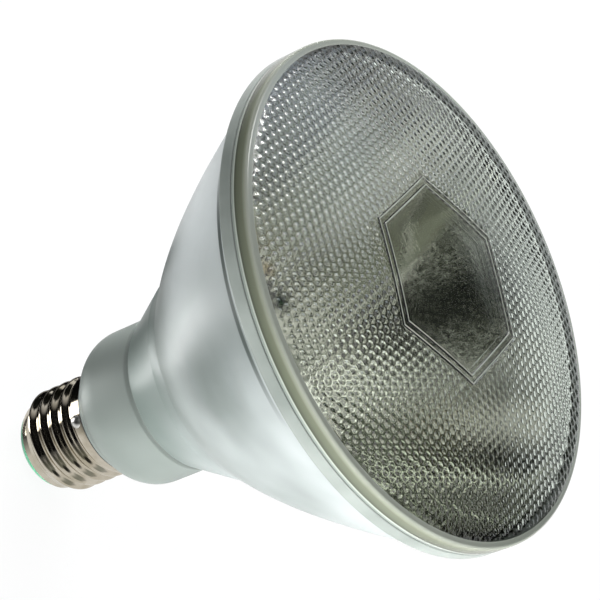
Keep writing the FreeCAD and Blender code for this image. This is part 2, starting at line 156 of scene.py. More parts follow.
def finishGroup(tree, geometry, value):
    real = addNode(tree, "GeometryNodeRealizeInstances", [geometry])
    dressed = addNode(tree, "GeometryNodeSetMaterial", {"Geometry": real, "Material": value["Material"]})
    addNode(tree, "NodeGroupOutput", [dressed])
    return tree


def evaluated(name, tree, values, material):
    # runs a node tree and returns the result as a plain mesh
    holder = bpy.data.objects.new(name, bpy.data.meshes.new(name))
    bpy.context.collection.objects.link(holder)
    modifier = holder.modifiers.new("nodes", "NODES")
    modifier.node_group = tree
    sockets = {item.name: item.identifier for item in tree.interface.items_tree if item.in_out == "INPUT"}
    for label, value in dict(values, Material=material).items():
        modifier[sockets[label]] = value
    graph = bpy.context.evaluated_depsgraph_get()
    mesh = bpy.data.meshes.new_from_object(holder.evaluated_get(graph), depsgraph=graph)
    holder.modifiers.remove(modifier)
    bpy.data.objects.remove(holder)
    mesh.materials.clear()
    return mesh


mathNode = "ShaderNodeMath"
vectorNode = "ShaderNodeVectorMath"


# Materials
# stains of the glass and of the mirror coat, with places and reaches in mm
lensStains = [
    {"place": (7.6, -56.6, 123.4), "reach": 4.4, "tone": "#1c2b22", "share": 1.0},
    {"place": (0.5, -58.4, 123.0), "reach": 3.0, "tone": "#a8854c", "share": 0.8},
]
mirrorStains = [
    {"place": (-18, 19, 67), "reach": 6, "tone": "#1c2b22", "share": 0.95},
    {"place": (26, 35, 92), "reach": 20, "tone": "#4f5142", "share": 0.7},
    {"place": (28, 38, 95), "reach": 9, "tone": "#8d7844", "share": 0.4},
    {"place": (-30, 10, 74), "reach": 7, "tone": "#9a7c3c", "share": 0.6},
]
# painted light and shade on the coat seen from behind: one light patch and two dark ones, in mm
paintedCoatShading = [
    {"place": (-17, -48, 100), "reach": 30, "tone": "#dce2e3", "share": 0.8},
    {"place": (4, -53, 102), "reach": 27, "tone": "#4a5451", "share": 0.6},
    {"place": (10, -44, 88), "reach": 18, "tone": "#4a5451", "share": 0.5},
]


def addStains(tree, where, colour, stains, ragged):
    # lays spots of another tone over a colour; ragged is how far their edges wander in mm, in steps of about 3 mm
    wander = addNode(tree, "ShaderNodeTexNoise", {"Vector": where, "Scale": 300.0, "Detail": 2.0})
    for stain in stains:
        away = addNode(tree, vectorNode, [where, Vector(stain["place"]) * mm], operation="DISTANCE").outputs["Value"]
        edge = addNode(tree, mathNode, [wander, ragged * mm, away], operation="MULTIPLY_ADD")
        low = ragged * 0.67 * mm
        share = addNode(tree, "ShaderNodeMapRange", [edge, low, low + stain["reach"] * mm, stain["share"], 0.0],
                        interpolation_type="SMOOTHSTEP")
        colour = addNode(tree, "ShaderNodeMix", {0: share, 6: colour, 7: linear(stain["tone"])},
                         data_type="RGBA").outputs[2]
    return colour


def makeLensGlass():
    # pressed borosilicate glass, clear and glossy with a faint grey green from its iron; the press skin's ripples
    # are about 1 mm long
    material, tree = newMaterial("pressedLensGlass")
    where = addNode(tree, "ShaderNodeTexCoord").outputs["Object"]
    skin = addNode(tree, "ShaderNodeTexNoise", {"Vector": where, "Scale": 900.0, "Detail": 2.0})
    bump = addNode(tree, "ShaderNodeBump", {"Strength": 0.05, "Distance": 0.2 * mm, "Height": skin})
    return finishMaterial(material, tree, {
        "Base Color": addStains(tree, where, linear("#f1f2ec"), lensStains, 2.0),
        "Roughness": 0.03,
        "IOR": 1.48,
        "Transmission Weight": 1.0,
        "Normal": bump,
    })


# the pits are drawn about 0.5 mm apart, a little coarser than the real grain, so that a picture still shows them
peened = {
    "side": (0.35, 0.94, 0.0), "from": 30 * mm, "full": 34 * mm, "fade": 4 * mm, "end": 12 * mm, "scale": 2000.0,
    "depth": 0.1 * mm, "shallow": 0.42, "deep": 0.58, "clear": 0.3, "tone": "#34372e",
}


def makeMirrorCoat():
    # vacuum deposited aluminium on pressed glass: a clean grey mirror, clouded in patches of about 45 mm, and stained
    material, tree = newMaterial("depositedMirror")
    where = addNode(tree, "ShaderNodeTexCoord").outputs["Object"]
    cloud = addNode(tree, "ShaderNodeTexNoise", {"Vector": where, "Scale": 22.0, "Detail": 3.0})
    tone = addNode(tree, "ShaderNodeValToRGB", [cloud], [(0.35, "#bec1b9"), (0.65, "#d3d6ce")])
    colour = addStains(tree, where, tone, mirrorStains, 3.0)
    # the press left one side of the bowl finely peened
    side = addNode(tree, vectorNode, [where, peened["side"]], operation="DOT_PRODUCT").outputs["Value"]
    patch = addNode(tree, "ShaderNodeMapRange", [side, peened["from"], peened["full"], 0.0, 1.0],
                    interpolation_type="SMOOTHSTEP")
    across = addNode(tree, "ShaderNodeSeparateXYZ", [where])
    within = addNode(tree, "ShaderNodeMapRange", [across, peened["fade"], peened["end"], 1.0, 0.0])
    amount = addNode(tree, mathNode, [patch, within], operation="MULTIPLY")
    grain = addNode(tree, "ShaderNodeTexNoise", {"Vector": where, "Scale": peened["scale"], "Detail": 1.0})
    height = addNode(tree, mathNode, [grain, amount], operation="MULTIPLY")
    bump = addNode(tree, "ShaderNodeBump", {"Strength": 1.0, "Distance": peened["depth"], "Height": height})
    # painted shade in the pits: where the grain is low, the colour darkens towards the tone
    pitShade = addNode(tree, "ShaderNodeMapRange", [grain, peened["shallow"], peened["deep"], 1.0, peened["clear"]])
    paintedPitShade = addNode(tree, mathNode, [pitShade, amount], operation="MULTIPLY")
    dimmed = addNode(tree, "ShaderNodeMix", {0: paintedPitShade, 6: colour, 7: linear(peened["tone"])}, data_type="RGBA")
    return finishMaterial(material, tree, {
        "Base Color": dimmed.outputs[2],
        "Metallic": 1.0,
        "Roughness": 0.02,
        "Normal": bump,
    })


# painted shade: a dark line round the bowl just under the flange, on its front only
flangeShadeLine = {"height": 111.3 * mm, "half": 0.5 * mm, "fade": 0.9 * mm, "from": -48 * mm, "full": -56 * mm}
# painted shade: the bowl darker low down next to the skirt
heelShade = {"sway": 14 * mm, "full": 56 * mm, "gone": 78 * mm, "share": 0.85, "tone": "#5f6b66"}


def makeOuterCoat():
    # the mirror coat seen from behind through pressed glass: soft silver grey in clouds of about 50 mm, with painted
    # light and shade patches and a painted shade line along the front just under the flange
    material, tree = newMaterial("glassOverMirror")
    where = addNode(tree, "ShaderNodeTexCoord").outputs["Object"]
    spot = addNode(tree, "ShaderNodeSeparateXYZ", [where])
    height = spot.outputs["Z"]
    cloud = addNode(tree, "ShaderNodeTexNoise", {"Vector": where, "Scale": 20.0, "Detail": 3.0})
    tone = addNode(tree, "ShaderNodeValToRGB", [cloud], [(0.36, "#6f7774"), (0.64, "#a2a8a8")])
    # painted light and shade patches laid over the clouded tone
    cloudedAndShaded = addStains(tree, where, tone, paintedCoatShading, 3.0)
    # painted shade: the dark line just under the flange, on the front of the bowl only
    away = addNode(tree, mathNode, [height, flangeShadeLine["height"]], operation="SUBTRACT")
    far = addNode(tree, mathNode, [away], operation="ABSOLUTE")
    near = addNode(tree, "ShaderNodeMapRange", [far, flangeShadeLine["half"], flangeShadeLine["fade"], 0.9, 0.0],
                   interpolation_type="SMOOTHSTEP")
    front = addNode(tree, "ShaderNodeMapRange", [spot.outputs["Y"], flangeShadeLine["from"], flangeShadeLine["full"]])
    line = addNode(tree, mathNode, [near, front], operation="MULTIPLY")
    shadeLined = addNode(tree, "ShaderNodeMix", {0: line, 6: cloudedAndShaded, 7: linear("#313b37")}, data_type="RGBA")
    # painted shade: the bowl is darker low down next to the skirt, fading out by about 78 mm up
    sway = addNode(tree, mathNode, [cloud, heelShade["sway"], height], operation="MULTIPLY_ADD")
    heel = addNode(tree, "ShaderNodeMapRange", [sway, heelShade["full"], heelShade["gone"], heelShade["share"], 0.0],
                   interpolation_type="SMOOTHSTEP")
    colour = addNode(tree, "ShaderNodeMix", {0: heel, 6: shadeLined.outputs[2], 7: linear(heelShade["tone"])},
                     data_type="RGBA")
    return finishMaterial(material, tree, {
        "Base Color": colour.outputs[2],
        "Metallic": 0.35,
        "Roughness": 0.5,
        "Coat Weight": 0.3,
        "Coat Roughness": 0.3,
    })


def makeSkirtMetal():
    # drawn aluminium, satin anodised: even grey with a green cast and soft highlights; the drawing marks are 0.7 mm
    # apart, coarser than the real ones
    material, tree = newMaterial("satinDrawnAluminium")
    where = addNode(tree, "ShaderNodeTexCoord").outputs["Object"]
    cloud = addNode(tree, "ShaderNodeTexNoise", {"Vector": where, "Scale": 40.0, "Detail": 2.0})
    tone = addNode(tree, "ShaderNodeValToRGB", [cloud], [(0.35, "#666d69"), (0.65, "#737a76")])
    stretched = addNode(tree, "ShaderNodeMapping", {"Vector": where, "Scale": (1.0, 1.0, 0.12)})
    marks = addNode(tree, "ShaderNodeTexNoise", {"Vector": stretched, "Scale": 1500.0, "Detail": 2.0})
    bump = addNode(tree, "ShaderNodeBump", {"Strength": 0.04, "Distance": 0.1 * mm, "Height": marks})
    return finishMaterial(material, tree, {"Base Color": tone, "Metallic": 0.25, "Roughness": 0.5, "Normal": bump})


def makeDrifting(name, low, high, scale, settings):
    # a finish whose colour drifts a little between two tones; a scale of 60 gives patches of about 17 mm
    material, tree = newMaterial(name)
    where = addNode(tree, "ShaderNodeTexCoord").outputs["Object"]
    cloud = addNode(tree, "ShaderNodeTexNoise", {"Vector": where, "Scale": scale, "Detail": 3.0})
    tone = addNode(tree, "ShaderNodeValToRGB", [cloud], [(0.35, low), (0.65, high)])
    return finishMaterial(material, tree, dict(settings, **{"Base Color": tone}))


# tones of the lens's edge from its seam up, with a painted shadow line over the pale line and a painted highlight at
# the top
edgeToneAndShade = {
    "low": 118 * mm, "high": 123 * mm, "sway": 0.4 * mm,
    "tones": [
        (0.0, "#646a65"), (0.15, "#6a706b"), (0.18, "#838982"), (0.22, "#838982"), (0.26, "#3a3e34"),
        (0.4, "#4a4e42"), (0.66, "#54584a"), (0.82, "#6d7165"), (0.94, "#868b82"),
    ],
}


def makeFusedEdge():
    # the lens's thick edge, fused to the bowl by flame: grey green below a pale line, then a painted shadow line,
    # olive and glossy above it, lighter at the top as a painted highlight on the rounding
    material, tree = newMaterial("fusedEdgeGlass")
    where = addNode(tree, "ShaderNodeTexCoord").outputs["Object"]
    height = addNode(tree, "ShaderNodeSeparateXYZ", [where]).outputs["Z"]
    wander = addNode(tree, "ShaderNodeTexNoise", {"Vector": where, "Scale": 45.0, "Detail": 3.0})
    sway = addNode(tree, mathNode, [wander, edgeToneAndShade["sway"], height], operation="MULTIPLY_ADD")
    up = addNode(tree, "ShaderNodeMapRange", [sway, edgeToneAndShade["low"], edgeToneAndShade["high"]])
    tone = addNode(tree, "ShaderNodeValToRGB", [up], edgeToneAndShade["tones"])
    return finishMaterial(material, tree, {"Base Color": tone, "Roughness": 0.25, "IOR": 1.48})


lensGlass = makeLensGlass()
mirrorCoat = makeMirrorCoat()
outerCoat = makeOuterCoat()
skirtMetal = makeSkirtMetal()
# the thick pressed flange, where the glass itself shows: grey green and glossy
flangeGlass = makeDrifting("pressedFlangeGlass", "#666c68", "#777d79", 60.0, {"Roughness": 0.3, "IOR": 1.48})
fusedEdge = makeFusedEdge()
# the tops of the raised lines on the lens: pale grey and soft, a painted highlight along each line
paleLineHighlight = makeDrifting("paintedHighlightLine", "#b9c0b2", "#d2d8cb", 400.0, {
    "Roughness": 0.4,
    "Transmission Weight": 0.35,
    "IOR": 1.48,
})
# nickel plated brass, rolled: bright and slightly warm
nickel = makeDrifting("nickelPlatedBrass", "#aaa28f", "#c5beb0", 180.0, {"Metallic": 1.0, "Roughness": 0.1})
# poured insulating glass at the end of the cap: bottle green and glossy
capGlass = makeDrifting("pouredCapGlass", "#1f5a42", "#4a8a6b", 150.0, {"Roughness": 0.12, "IOR": 1.5})
# tin solder, cast: dull silver
solderTin = makeDrifting("castSolder", "#b9b9b4", "#d6d6d2", 500.0, {"Metallic": 1.0, "Roughness": 0.3})
# brass sheet, stamped: pale yellow
contactBrass = makeDrifting("stampedBrass", "#b7a878", "#cfc193", 300.0, {"Metallic": 1.0, "Roughness": 0.25})
# phenolic resin, moulded: near black and matt
ringResin = makeDrifting("mouldedPhenolic", "#16191b", "#23272a", 200.0, {"Roughness": 0.55})
# nickel-iron cups, oxidised where they were sealed to the glass: brown grey
ferruleSteel = makeDrifting("oxidisedNickelIron", "#6d6a64", "#8a877f", 200.0, {"Metallic": 1.0, "Roughness": 0.4})
# nickel wire, drawn: grey silver
leadNickel = makeDrifting("drawnNickelWire", "#a19e96", "#bab7b0", 300.0, {"Metallic": 1.0, "Roughness": 0.3})
# glass tube and rod, fire polished: clear
clearGlass = makeDrifting("firePolishedGlass", "#e4ebe6", "#eef3ef", 50.0, {
    "Roughness": 0.02,
    "Transmission Weight": 1.0,
    "IOR": 1.5,
})
# tungsten wire, drawn: dark grey
tungsten = makeDrifting("drawnTungsten", "#4f4f52", "#6b6b6e", 800.0, {"Metallic": 1.0, "Roughness": 0.35})
# glass yarn, braided: off white and matt
sleeveYarn = makeDrifting("braidedGlassYarn", "#c9c4b4", "#e2ddcf", 900.0, {"Roughness": 0.8})
print("materials ready")

cadFinishes = {
    "centre_contact": contactBrass,
    "contact_solder": solderTin,
    "side_solder": solderTin,
    "skirt_insulator": ringResin,
    "ferrule_side": ferruleSteel,
    "ferrule_centre": ferruleSteel,
    "post_side": leadNickel,
    "post_centre": leadNickel,
    "centre_lead": leadNickel,
    "side_lead": leadNickel,
    "exhaust_tube": clearGlass,
    "bridge_bead": clearGlass,
    "filament_support": tungsten,
    "lead_sleeve": sleeveYarn,
}
for node, finish in cadFinishes.items():
    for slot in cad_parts[node].material_slots:
        slot.material = finish

# Reflector, with the outline of its solid and the press's small roundings, in mm: radius, height and rounding
reflector = {
    "heel": [(0, 43.5), (18.9, 43.5, 0.8), (18.9, 47.6, 0.2), (18.2, 48.2, 0.2), (18.2, 48.9, 0.2), (19.7, 49.1, 0.5),
             (26.9, 62.2, 2.5)],
    "bowlVertex": 50.93, "bowlFocal": 13.62, "bowlStart": 27.9, "bowlEnd": 58.6,
    "mirrorVertex": 54.3, "mirrorFocal": 13.25, "mirrorEnd": 57.6, "well": 13.0, "wellFloor": 47.5,
    "rim": 61.0, "rimUnder": 114.5, "rimRounding": 0.9, "seam": 117.9, "seamRounding": 0.4, "wellRounding": 1.5,
    "segments": 256,
}


def makeReflector(v):
    outside = v["heel"] + parabola(v["bowlStart"], v["bowlEnd"], v["bowlVertex"], v["bowlFocal"])
    outside += [(v["rim"], v["rimUnder"], v["rimRounding"]), (v["rim"], v["seam"], v["seamRounding"])]
    inside = [(v["mirrorEnd"], v["seam"])]
    inside += parabola(v["mirrorEnd"], v["well"], v["mirrorVertex"], v["mirrorFocal"])
    inside += [(v["well"], v["wellFloor"], v["wellRounding"]), (0, v["wellFloor"])]
    points = rounded(outside + inside)
    outer = len(rounded(outside))
    rimFaces = [i for i, p in enumerate(points) if p[1] > v["rimUnder"] - 0.2 and p[0] > v["bowlEnd"] - 0.05]

    def paint(index):
        if index in rimFaces:
            return 2
        return 0 if index < outer else 1
    mesh = turned("reflectorBowl", points, v["segments"], paint)
    place("reflectorBowl", mesh, [outerCoat, mirrorCoat, flangeGlass], ["reflector"])


makeReflector(reflector)
print("reflector done")

# Skirt: drawn sheet with a rounded shoulder, closed in round the heel of the glass, in mm
skirt = {
    "radius": 19.5, "sheet": 0.5, "shoulder": 9.7, "shoulderHeight": 37.2, "lip": 27.6, "neck": 14.2,
    "neckTop": 28.55, "neckInside": 28.8, "crimpStart": 47.6, "crimp": 18.8, "crimpInside": 18.3, "crimpLow": 48.2,
    "crimpHigh": 48.8,
}


def makeSkirt(v):
    axis = v["radius"] - v["shoulder"]
    inner = v["shoulder"] - v["sheet"]
    bore = v["radius"] - v["sheet"]
    outline = [(v["neck"], v["lip"], 0.2), (v["neck"], v["neckTop"], 0.6)]
    for angle in range(60, -1, -4):
        a = math.radians(angle)
        outline.append((axis + v["shoulder"] * math.cos(a), v["shoulderHeight"] - v["shoulder"] * math.sin(a)))
    outline += [(v["radius"], v["crimpStart"], 0.7), (v["crimp"], v["crimpLow"], 0.3),
                (v["crimp"], v["crimpHigh"], 0.15), (v["crimpInside"], v["crimpHigh"], 0.15),
                (v["crimpInside"], v["crimpLow"]), (bore, v["crimpStart"])]
    for angle in range(0, 64, 4):
        a = math.radians(angle)
        outline.append((axis + inner * math.cos(a), v["shoulderHeight"] - inner * math.sin(a)))
    outline += [(v["neck"] - v["sheet"], v["neckInside"]), (v["neck"] - v["sheet"], v["lip"], 0.2)]
    mesh = turned("skirtSheet", rounded(outline))
    place("skirtSheet", mesh, [skirtMetal], ["skirt"])


makeSkirt(skirt)
print("skirt done")

# Cap glass, poured round the contact and into the end of the shell, in mm
capInsulator = [(1.3, 1.3), (5.6, 1.3, 0.6), (8.7, 2.5, 3.0), (10.4, 4.2, 1.2), (10.9, 5.6), (10.9, 8.4, 0.3),
                (9.3, 8.4, 0.6), (6.5, 5.0, 0.8), (1.3, 5.0)]
place("capGlass", turned("capGlass", rounded(capInsulator), 128), [capGlass], ["cap_insulator"])
print("cap glass done")

# Screw shell: one sheet rolled into a round thread, whose groove dies out below the plain band
screwShell = {
    "Around": 160, "Along": 200, "Bottom": 5.6 * mm, "Top": 31.0 * mm, "Rim radius": 11.25 * mm,
    "Crest radius": 13.2 * mm, "Thread depth": 1.1 * mm, "Pitch": 3.629 * mm, "Crest height": 9.85 * mm,
    "Crest angle": math.radians(-101.0), "Taper start": 7.0 * mm, "Taper end": 9.3 * mm,
    "Groove end": 23.2 * mm, "Groove gone": 24.9 * mm,
}
shellSheet = 0.35 * mm


def makeThreadTree():
    tree, value = newGroup("rolledThread", screwShell)
    grid = addNode(tree, "GeometryNodeMeshGrid", [2 * math.pi, 1.0, value["Around"], value["Along"]])
    spot = addNode(tree, "ShaderNodeSeparateXYZ", [addNode(tree, "GeometryNodeInputPosition")])
    angle = spot.outputs["X"]
    height = addNode(tree, "ShaderNodeMapRange", [spot.outputs["Y"], -0.5, 0.5, value["Bottom"], value["Top"]])
    # one turn of the groove for each pitch, right hand
    climb = addNode(tree, mathNode, [height, value["Crest height"]], operation="SUBTRACT")
    rise = addNode(tree, mathNode, [climb, value["Pitch"]], operation="DIVIDE")
    swing = addNode(tree, mathNode, [angle, value["Crest angle"]], operation="SUBTRACT")
    turns = addNode(tree, mathNode, [rise, 2 * math.pi], operation="MULTIPLY")
    phase = addNode(tree, mathNode, [turns, swing], operation="SUBTRACT")
    wave = addNode(tree, mathNode, [phase], operation="COSINE")
    groove = addNode(tree, "ShaderNodeMapRange", [wave, -1.0, 1.0, value["Thread depth"], 0.0])
    fade = addNode(tree, "ShaderNodeMapRange", [height, value["Groove end"], value["Groove gone"], 1.0, 0.0],
                   interpolation_type="SMOOTHSTEP")
    depth = addNode(tree, mathNode, [groove, fade], operation="MULTIPLY")
    thread = addNode(tree, mathNode, [value["Crest radius"], depth], operation="SUBTRACT")
    radius = addNode(tree, "ShaderNodeMapRange", [
        height, value["Taper start"], value["Taper end"], value["Rim radius"], thread,
    ], interpolation_type="SMOOTHSTEP")
    across = addNode(tree, mathNode, [angle], operation="COSINE")
    along = addNode(tree, mathNode, [angle], operation="SINE")
    ring = addNode(tree, "ShaderNodeCombineXYZ", [across, along])
    wide = addNode(tree, vectorNode, {"Vector": ring, "Scale": radius}, operation="SCALE")
    lift = addNode(tree, "ShaderNodeCombineXYZ", {"Z": height})
    rolled = addNode(tree, vectorNode, [wide, lift], operation="ADD")
    shaped = addNode(tree, "GeometryNodeSetPosition", {"Geometry": grid, "Position": rolled})
    joined = addNode(tree, "GeometryNodeMergeByDistance", {"Geometry": shaped, "Distance": 0.01 * mm})
    return finishGroup(tree, joined, value)


def thicken(mesh, thickness):
    # gives a sheet its thickness on the inside and closes its edges
    bm = bmesh.new()
    bm.from_mesh(mesh)
    bmesh.ops.recalc_face_normals(bm, faces=bm.faces)
    bmesh.ops.solidify(bm, geom=bm.faces[:], thickness=thickness)
    bmesh.ops.recalc_face_normals(bm, faces=bm.faces)
    bm.to_mesh(mesh)
    bm.free()


threadMesh = evaluated("rolledShell", makeThreadTree(), screwShell, nickel)
thicken(threadMesh, shellSheet)
place("rolledShell", threadMesh, [nickel], ["screw_shell"], smoothAngle=60)
print("screw shell done")

# Lens: a dome of small hexagonal bumps round a plain six sided panel with a raised double border, in mm
lens = {
    "rim": 61.0, "seam": 117.93, "rimTop": 121.67, "rimRounding": 0.9, "apex": 130.2, "shoulder": 60.1,
    "shoulderHeight": 122.57, "innerRadius": 57.6, "innerCorner": 119.6, "thickness": 3.0, "plainFrom": 59.3,
    "plainMiddle": 59.7, "panel": 23.2, "lineWidth": 0.8, "lineGap": 1.1, "lineHeight": 0.35, "rowsToPanel": 11,
    "bump": 0.36, "plainEdge": 1.0, "seamRounding": 0.35,
    "panelRings": (20.0, 16.0, 12.0, 8.0, 4.0, 1.5), "innerRings": (0.93, 0.82, 0.68, 0.5, 0.3, 0.12),
}
panelEdge = lens["panel"] + lens["lineWidth"] + lens["lineGap"]
domeRise = lens["apex"] - lens["shoulderHeight"]
domeRadius = (lens["shoulder"] ** 2 + domeRise ** 2) / (2 * domeRise)
innerApex = lens["apex"] - lens["thickness"]
innerRise = innerApex - lens["innerCorner"]
innerDome = (lens["innerRadius"] ** 2 + innerRise ** 2) / (2 * innerRise)
stipple = {
    "Spacing": panelEdge / lens["rowsToPanel"] * mm, "Bump height": lens["bump"] * mm,
    "Lens radius": lens["plainFrom"] * mm, "Plain edge": lens["plainEdge"] * mm, "Panel radius": panelEdge * mm,
    "Dome radius": domeRadius * mm, "Dome top": lens["apex"] * mm,
}


def makeStippleTree():
    tree, value = newGroup("lensStipple", stipple)
    spacing = value["Spacing"]
    spot = addNode(tree, "GeometryNodeInputPosition")
    flat = addNode(tree, vectorNode, [spot, (1, 1, 0)], operation="MULTIPLY")
    radius = addNode(tree, vectorNode, [flat], operation="LENGTH").outputs["Value"]
    rowStep = addNode(tree, mathNode, [spacing, math.sqrt(0.75)], operation="MULTIPLY")
    # one cell: a hexagon with its middle raised to a round cap
    cellRadius = addNode(tree, mathNode, [spacing, math.sqrt(3)], operation="DIVIDE")
    fan = addNode(tree, "GeometryNodeMeshCircle", {"Vertices": 6, "Radius": cellRadius}, fill_type="TRIANGLE_FAN")
    turn = addNode(tree, "GeometryNodeTransform", {"Geometry": fan, "Rotation": (0, 0, math.radians(30))})
    fine = addNode(tree, "GeometryNodeSubdivideMesh", {"Mesh": turn, "Level": 1})
    reach = addNode(tree, mathNode, [radius, cellRadius], operation="DIVIDE")
    square = addNode(tree, mathNode, [reach, 2.0], operation="POWER")
    cap = addNode(tree, "ShaderNodeMapRange", [square, 0.0, 1.0, value["Bump height"], 0.0])
    lift = addNode(tree, "ShaderNodeCombineXYZ", {"Z": cap})
    cell = addNode(tree, "GeometryNodeSetPosition", {"Geometry": fine, "Offset": lift})
    # rows of cells, every second row half a cell across
    rows = addNode(tree, mathNode, [value["Lens radius"], rowStep], operation="DIVIDE")
    half = addNode(tree, mathNode, [addNode(tree, mathNode, [rows, 1.0], operation="ADD")], operation="CEIL")
    span = addNode(tree, mathNode, [half, 2.0], operation="MULTIPLY")
    total = addNode(tree, mathNode, [span, 1.0], operation="ADD")
    wide = addNode(tree, mathNode, [span, spacing], operation="MULTIPLY")
    tall = addNode(tree, mathNode, [span, rowStep], operation="MULTIPLY")
    grid = addNode(tree, "GeometryNodeMeshGrid", [wide, tall, total, total])
    height = addNode(tree, "ShaderNodeSeparateXYZ", [spot]).outputs["Y"]
    line = addNode(tree, mathNode, [height, rowStep], operation="DIVIDE")
    row = addNode(tree, mathNode, [addNode(tree, mathNode, [line], operation="ROUND")], operation="ABSOLUTE")
    odd = addNode(tree, mathNode, [row, 2.0], operation="MODULO")
    shift = addNode(tree, mathNode, [addNode(tree, mathNode, [odd, 0.5], operation="MULTIPLY"), spacing],
                    operation="MULTIPLY")
    step = addNode(tree, "ShaderNodeCombineXYZ", [shift])
    staggered = addNode(tree, "GeometryNodeSetPosition", {"Geometry": grid, "Offset": step})
    cells = addNode(tree, "GeometryNodeInstanceOnPoints", {"Points": staggered, "Instance": cell})
    real = addNode(tree, "GeometryNodeRealizeInstances", [cells])
    joined = addNode(tree, "GeometryNodeMergeByDistance", {"Geometry": real, "Distance": 0.05 * mm})
    # cells outside the rim or inside the panel go
    outside = addNode(tree, mathNode, [radius, value["Lens radius"]], operation="GREATER_THAN")
    hexReach = 0.0
    for k in range(6):
        a = math.radians(30 + 60 * k)
        side = addNode(tree, vectorNode, [flat, (math.cos(a), math.sin(a), 0)], operation="DOT_PRODUCT")
        hexReach = addNode(tree, mathNode, [hexReach, side.outputs["Value"]], operation="MAXIMUM")
    panelSide = addNode(tree, mathNode, [value["Panel radius"], math.sqrt(0.75)], operation="MULTIPLY")
    inside = addNode(tree, mathNode, [hexReach, panelSide], operation="LESS_THAN")
    gone = addNode(tree, mathNode, [outside, inside], operation="MAXIMUM")
    kept = addNode(tree, "GeometryNodeDeleteGeometry", {"Geometry": joined, "Selection": gone}, domain="FACE")
    # the flat sheet of cells is laid on the dome
    slope = addNode(tree, mathNode, [radius, value["Dome radius"]], operation="DIVIDE")
    lean = addNode(tree, mathNode, [slope], operation="ARCSINE")
    drop = addNode(tree, mathNode, [lean], operation="COSINE")
    fall = addNode(tree, mathNode, [drop, 1.0], operation="SUBTRACT")
    sink = addNode(tree, mathNode, [fall, value["Dome radius"], value["Dome top"]], operation="MULTIPLY_ADD")
    edge = addNode(tree, mathNode, [value["Lens radius"], radius], operation="SUBTRACT")
    shrink = addNode(tree, "ShaderNodeMapRange", [edge, 0.0, value["Plain edge"], -1.0, 0.0])
    bumpHeight = addNode(tree, "ShaderNodeSeparateXYZ", [spot]).outputs["Z"]
    change = addNode(tree, mathNode, [bumpHeight, shrink, sink], operation="MULTIPLY_ADD")
    dome = addNode(tree, "ShaderNodeCombineXYZ", {"Z": change})
    laid = addNode(tree, "GeometryNodeSetPosition", {"Geometry": kept, "Offset": dome})
    return finishGroup(tree, laid, value)


def domeHeight(radius):
    return lens["apex"] - domeRadius + math.sqrt(domeRadius ** 2 - radius ** 2)


def growRing(bm, ring, spots, material):
    # adds one more ring of points next to a ring and joins the two with faces
    fresh = [bm.verts.new(spot) for spot in spots]
    count = len(ring)
    for k in range(count):
        face = bm.faces.new((ring[k], ring[(k + 1) % count], fresh[(k + 1) % count], fresh[k]))
        face.material_index = material
    return fresh


def closeRing(bm, ring, spot):
    middle = bm.verts.new(spot)
    for k in range(len(ring)):
        bm.faces.new((ring[k], ring[(k + 1) % len(ring)], middle))


def openRings(bm):
    # the boundary loops of the sheet, each in order
    edges = {e for e in bm.edges if e.is_boundary}
    rings = []
    for edge in bm.edges:
        if edge not in edges:
            continue
        edges.remove(edge)
        ring = [edge.verts[0], edge.verts[1]]
        while True:
            following = [e for e in ring[-1].link_edges if e in edges]
            if not following:
                break
            edges.remove(following[0])
            ring.append(following[0].other_vert(ring[-1]))
        rings.append(ring[:-1])
    return rings


def sixSided(angle):
    # distance to the side of a hexagon of circumradius 1, in one direction
    return math.sqrt(0.75) / math.cos((angle % (math.pi / 3)) - math.pi / 6)


def growRim(bm, ring, angles):
    # rounds over to the rim, goes down to the seam and comes back up under the dome to its middle
    rounding = lens["seamRounding"]
    outline = [(radius, domeHeight(radius)) for radius in (lens["plainMiddle"], lens["shoulder"])]
    for k in range(1, 7):
        a = math.radians(15 * k)
        outline.append((lens["shoulder"] + lens["rimRounding"] * math.sin(a),
                        lens["rimTop"] + lens["rimRounding"] * math.cos(a)))
    outline += [(lens["rim"], lens["seam"] + rounding), (lens["rim"] - 0.1, lens["seam"] + 0.12),
                (lens["rim"] - rounding, lens["seam"]), (lens["innerRadius"], lens["seam"]),
                (lens["innerRadius"], lens["innerCorner"])]
    # the edge down to the seam and across it is fused and opaque
    fusedRings = len(outline) - 1
    for share in lens["innerRings"]:
        radius = lens["innerRadius"] * share
        outline.append((radius, innerApex - innerDome + math.sqrt(innerDome ** 2 - radius ** 2)))
    for index, (radius, height) in enumerate(outline):
        spots = [Vector((radius * math.cos(a), radius * math.sin(a), height)) * mm for a in angles]
        ring = growRing(bm, ring, spots, 1 if index < fusedRings else 0)
    closeRing(bm, ring, Vector((0, 0, innerApex)) * mm)


def growPanel(bm, ring, angles):
    # the two raised lines, each with a rounded top whose two middle rings carry a painted highlight, then the plain
    # panel
    outline = []
    for outer in (panelEdge, lens["panel"]):
        for k in range(7):
            lift = lens["lineHeight"] * math.sin(math.pi * k / 6) ** 0.7
            outline.append((outer - lens["lineWidth"] * k / 6, lift, 2 if k in (3, 4) else 0))
    outline += [(radius, 0, 0) for radius in lens["panelRings"]]
    for radius, lift, material in outline:
        spots = []
        for a in angles:
            reach = radius * sixSided(a)
            spots.append(Vector((reach * math.cos(a), reach * math.sin(a), domeHeight(reach) + lift)) * mm)
        ring = growRing(bm, ring, spots, material)
    closeRing(bm, ring, Vector((0, 0, lens["apex"])) * mm)


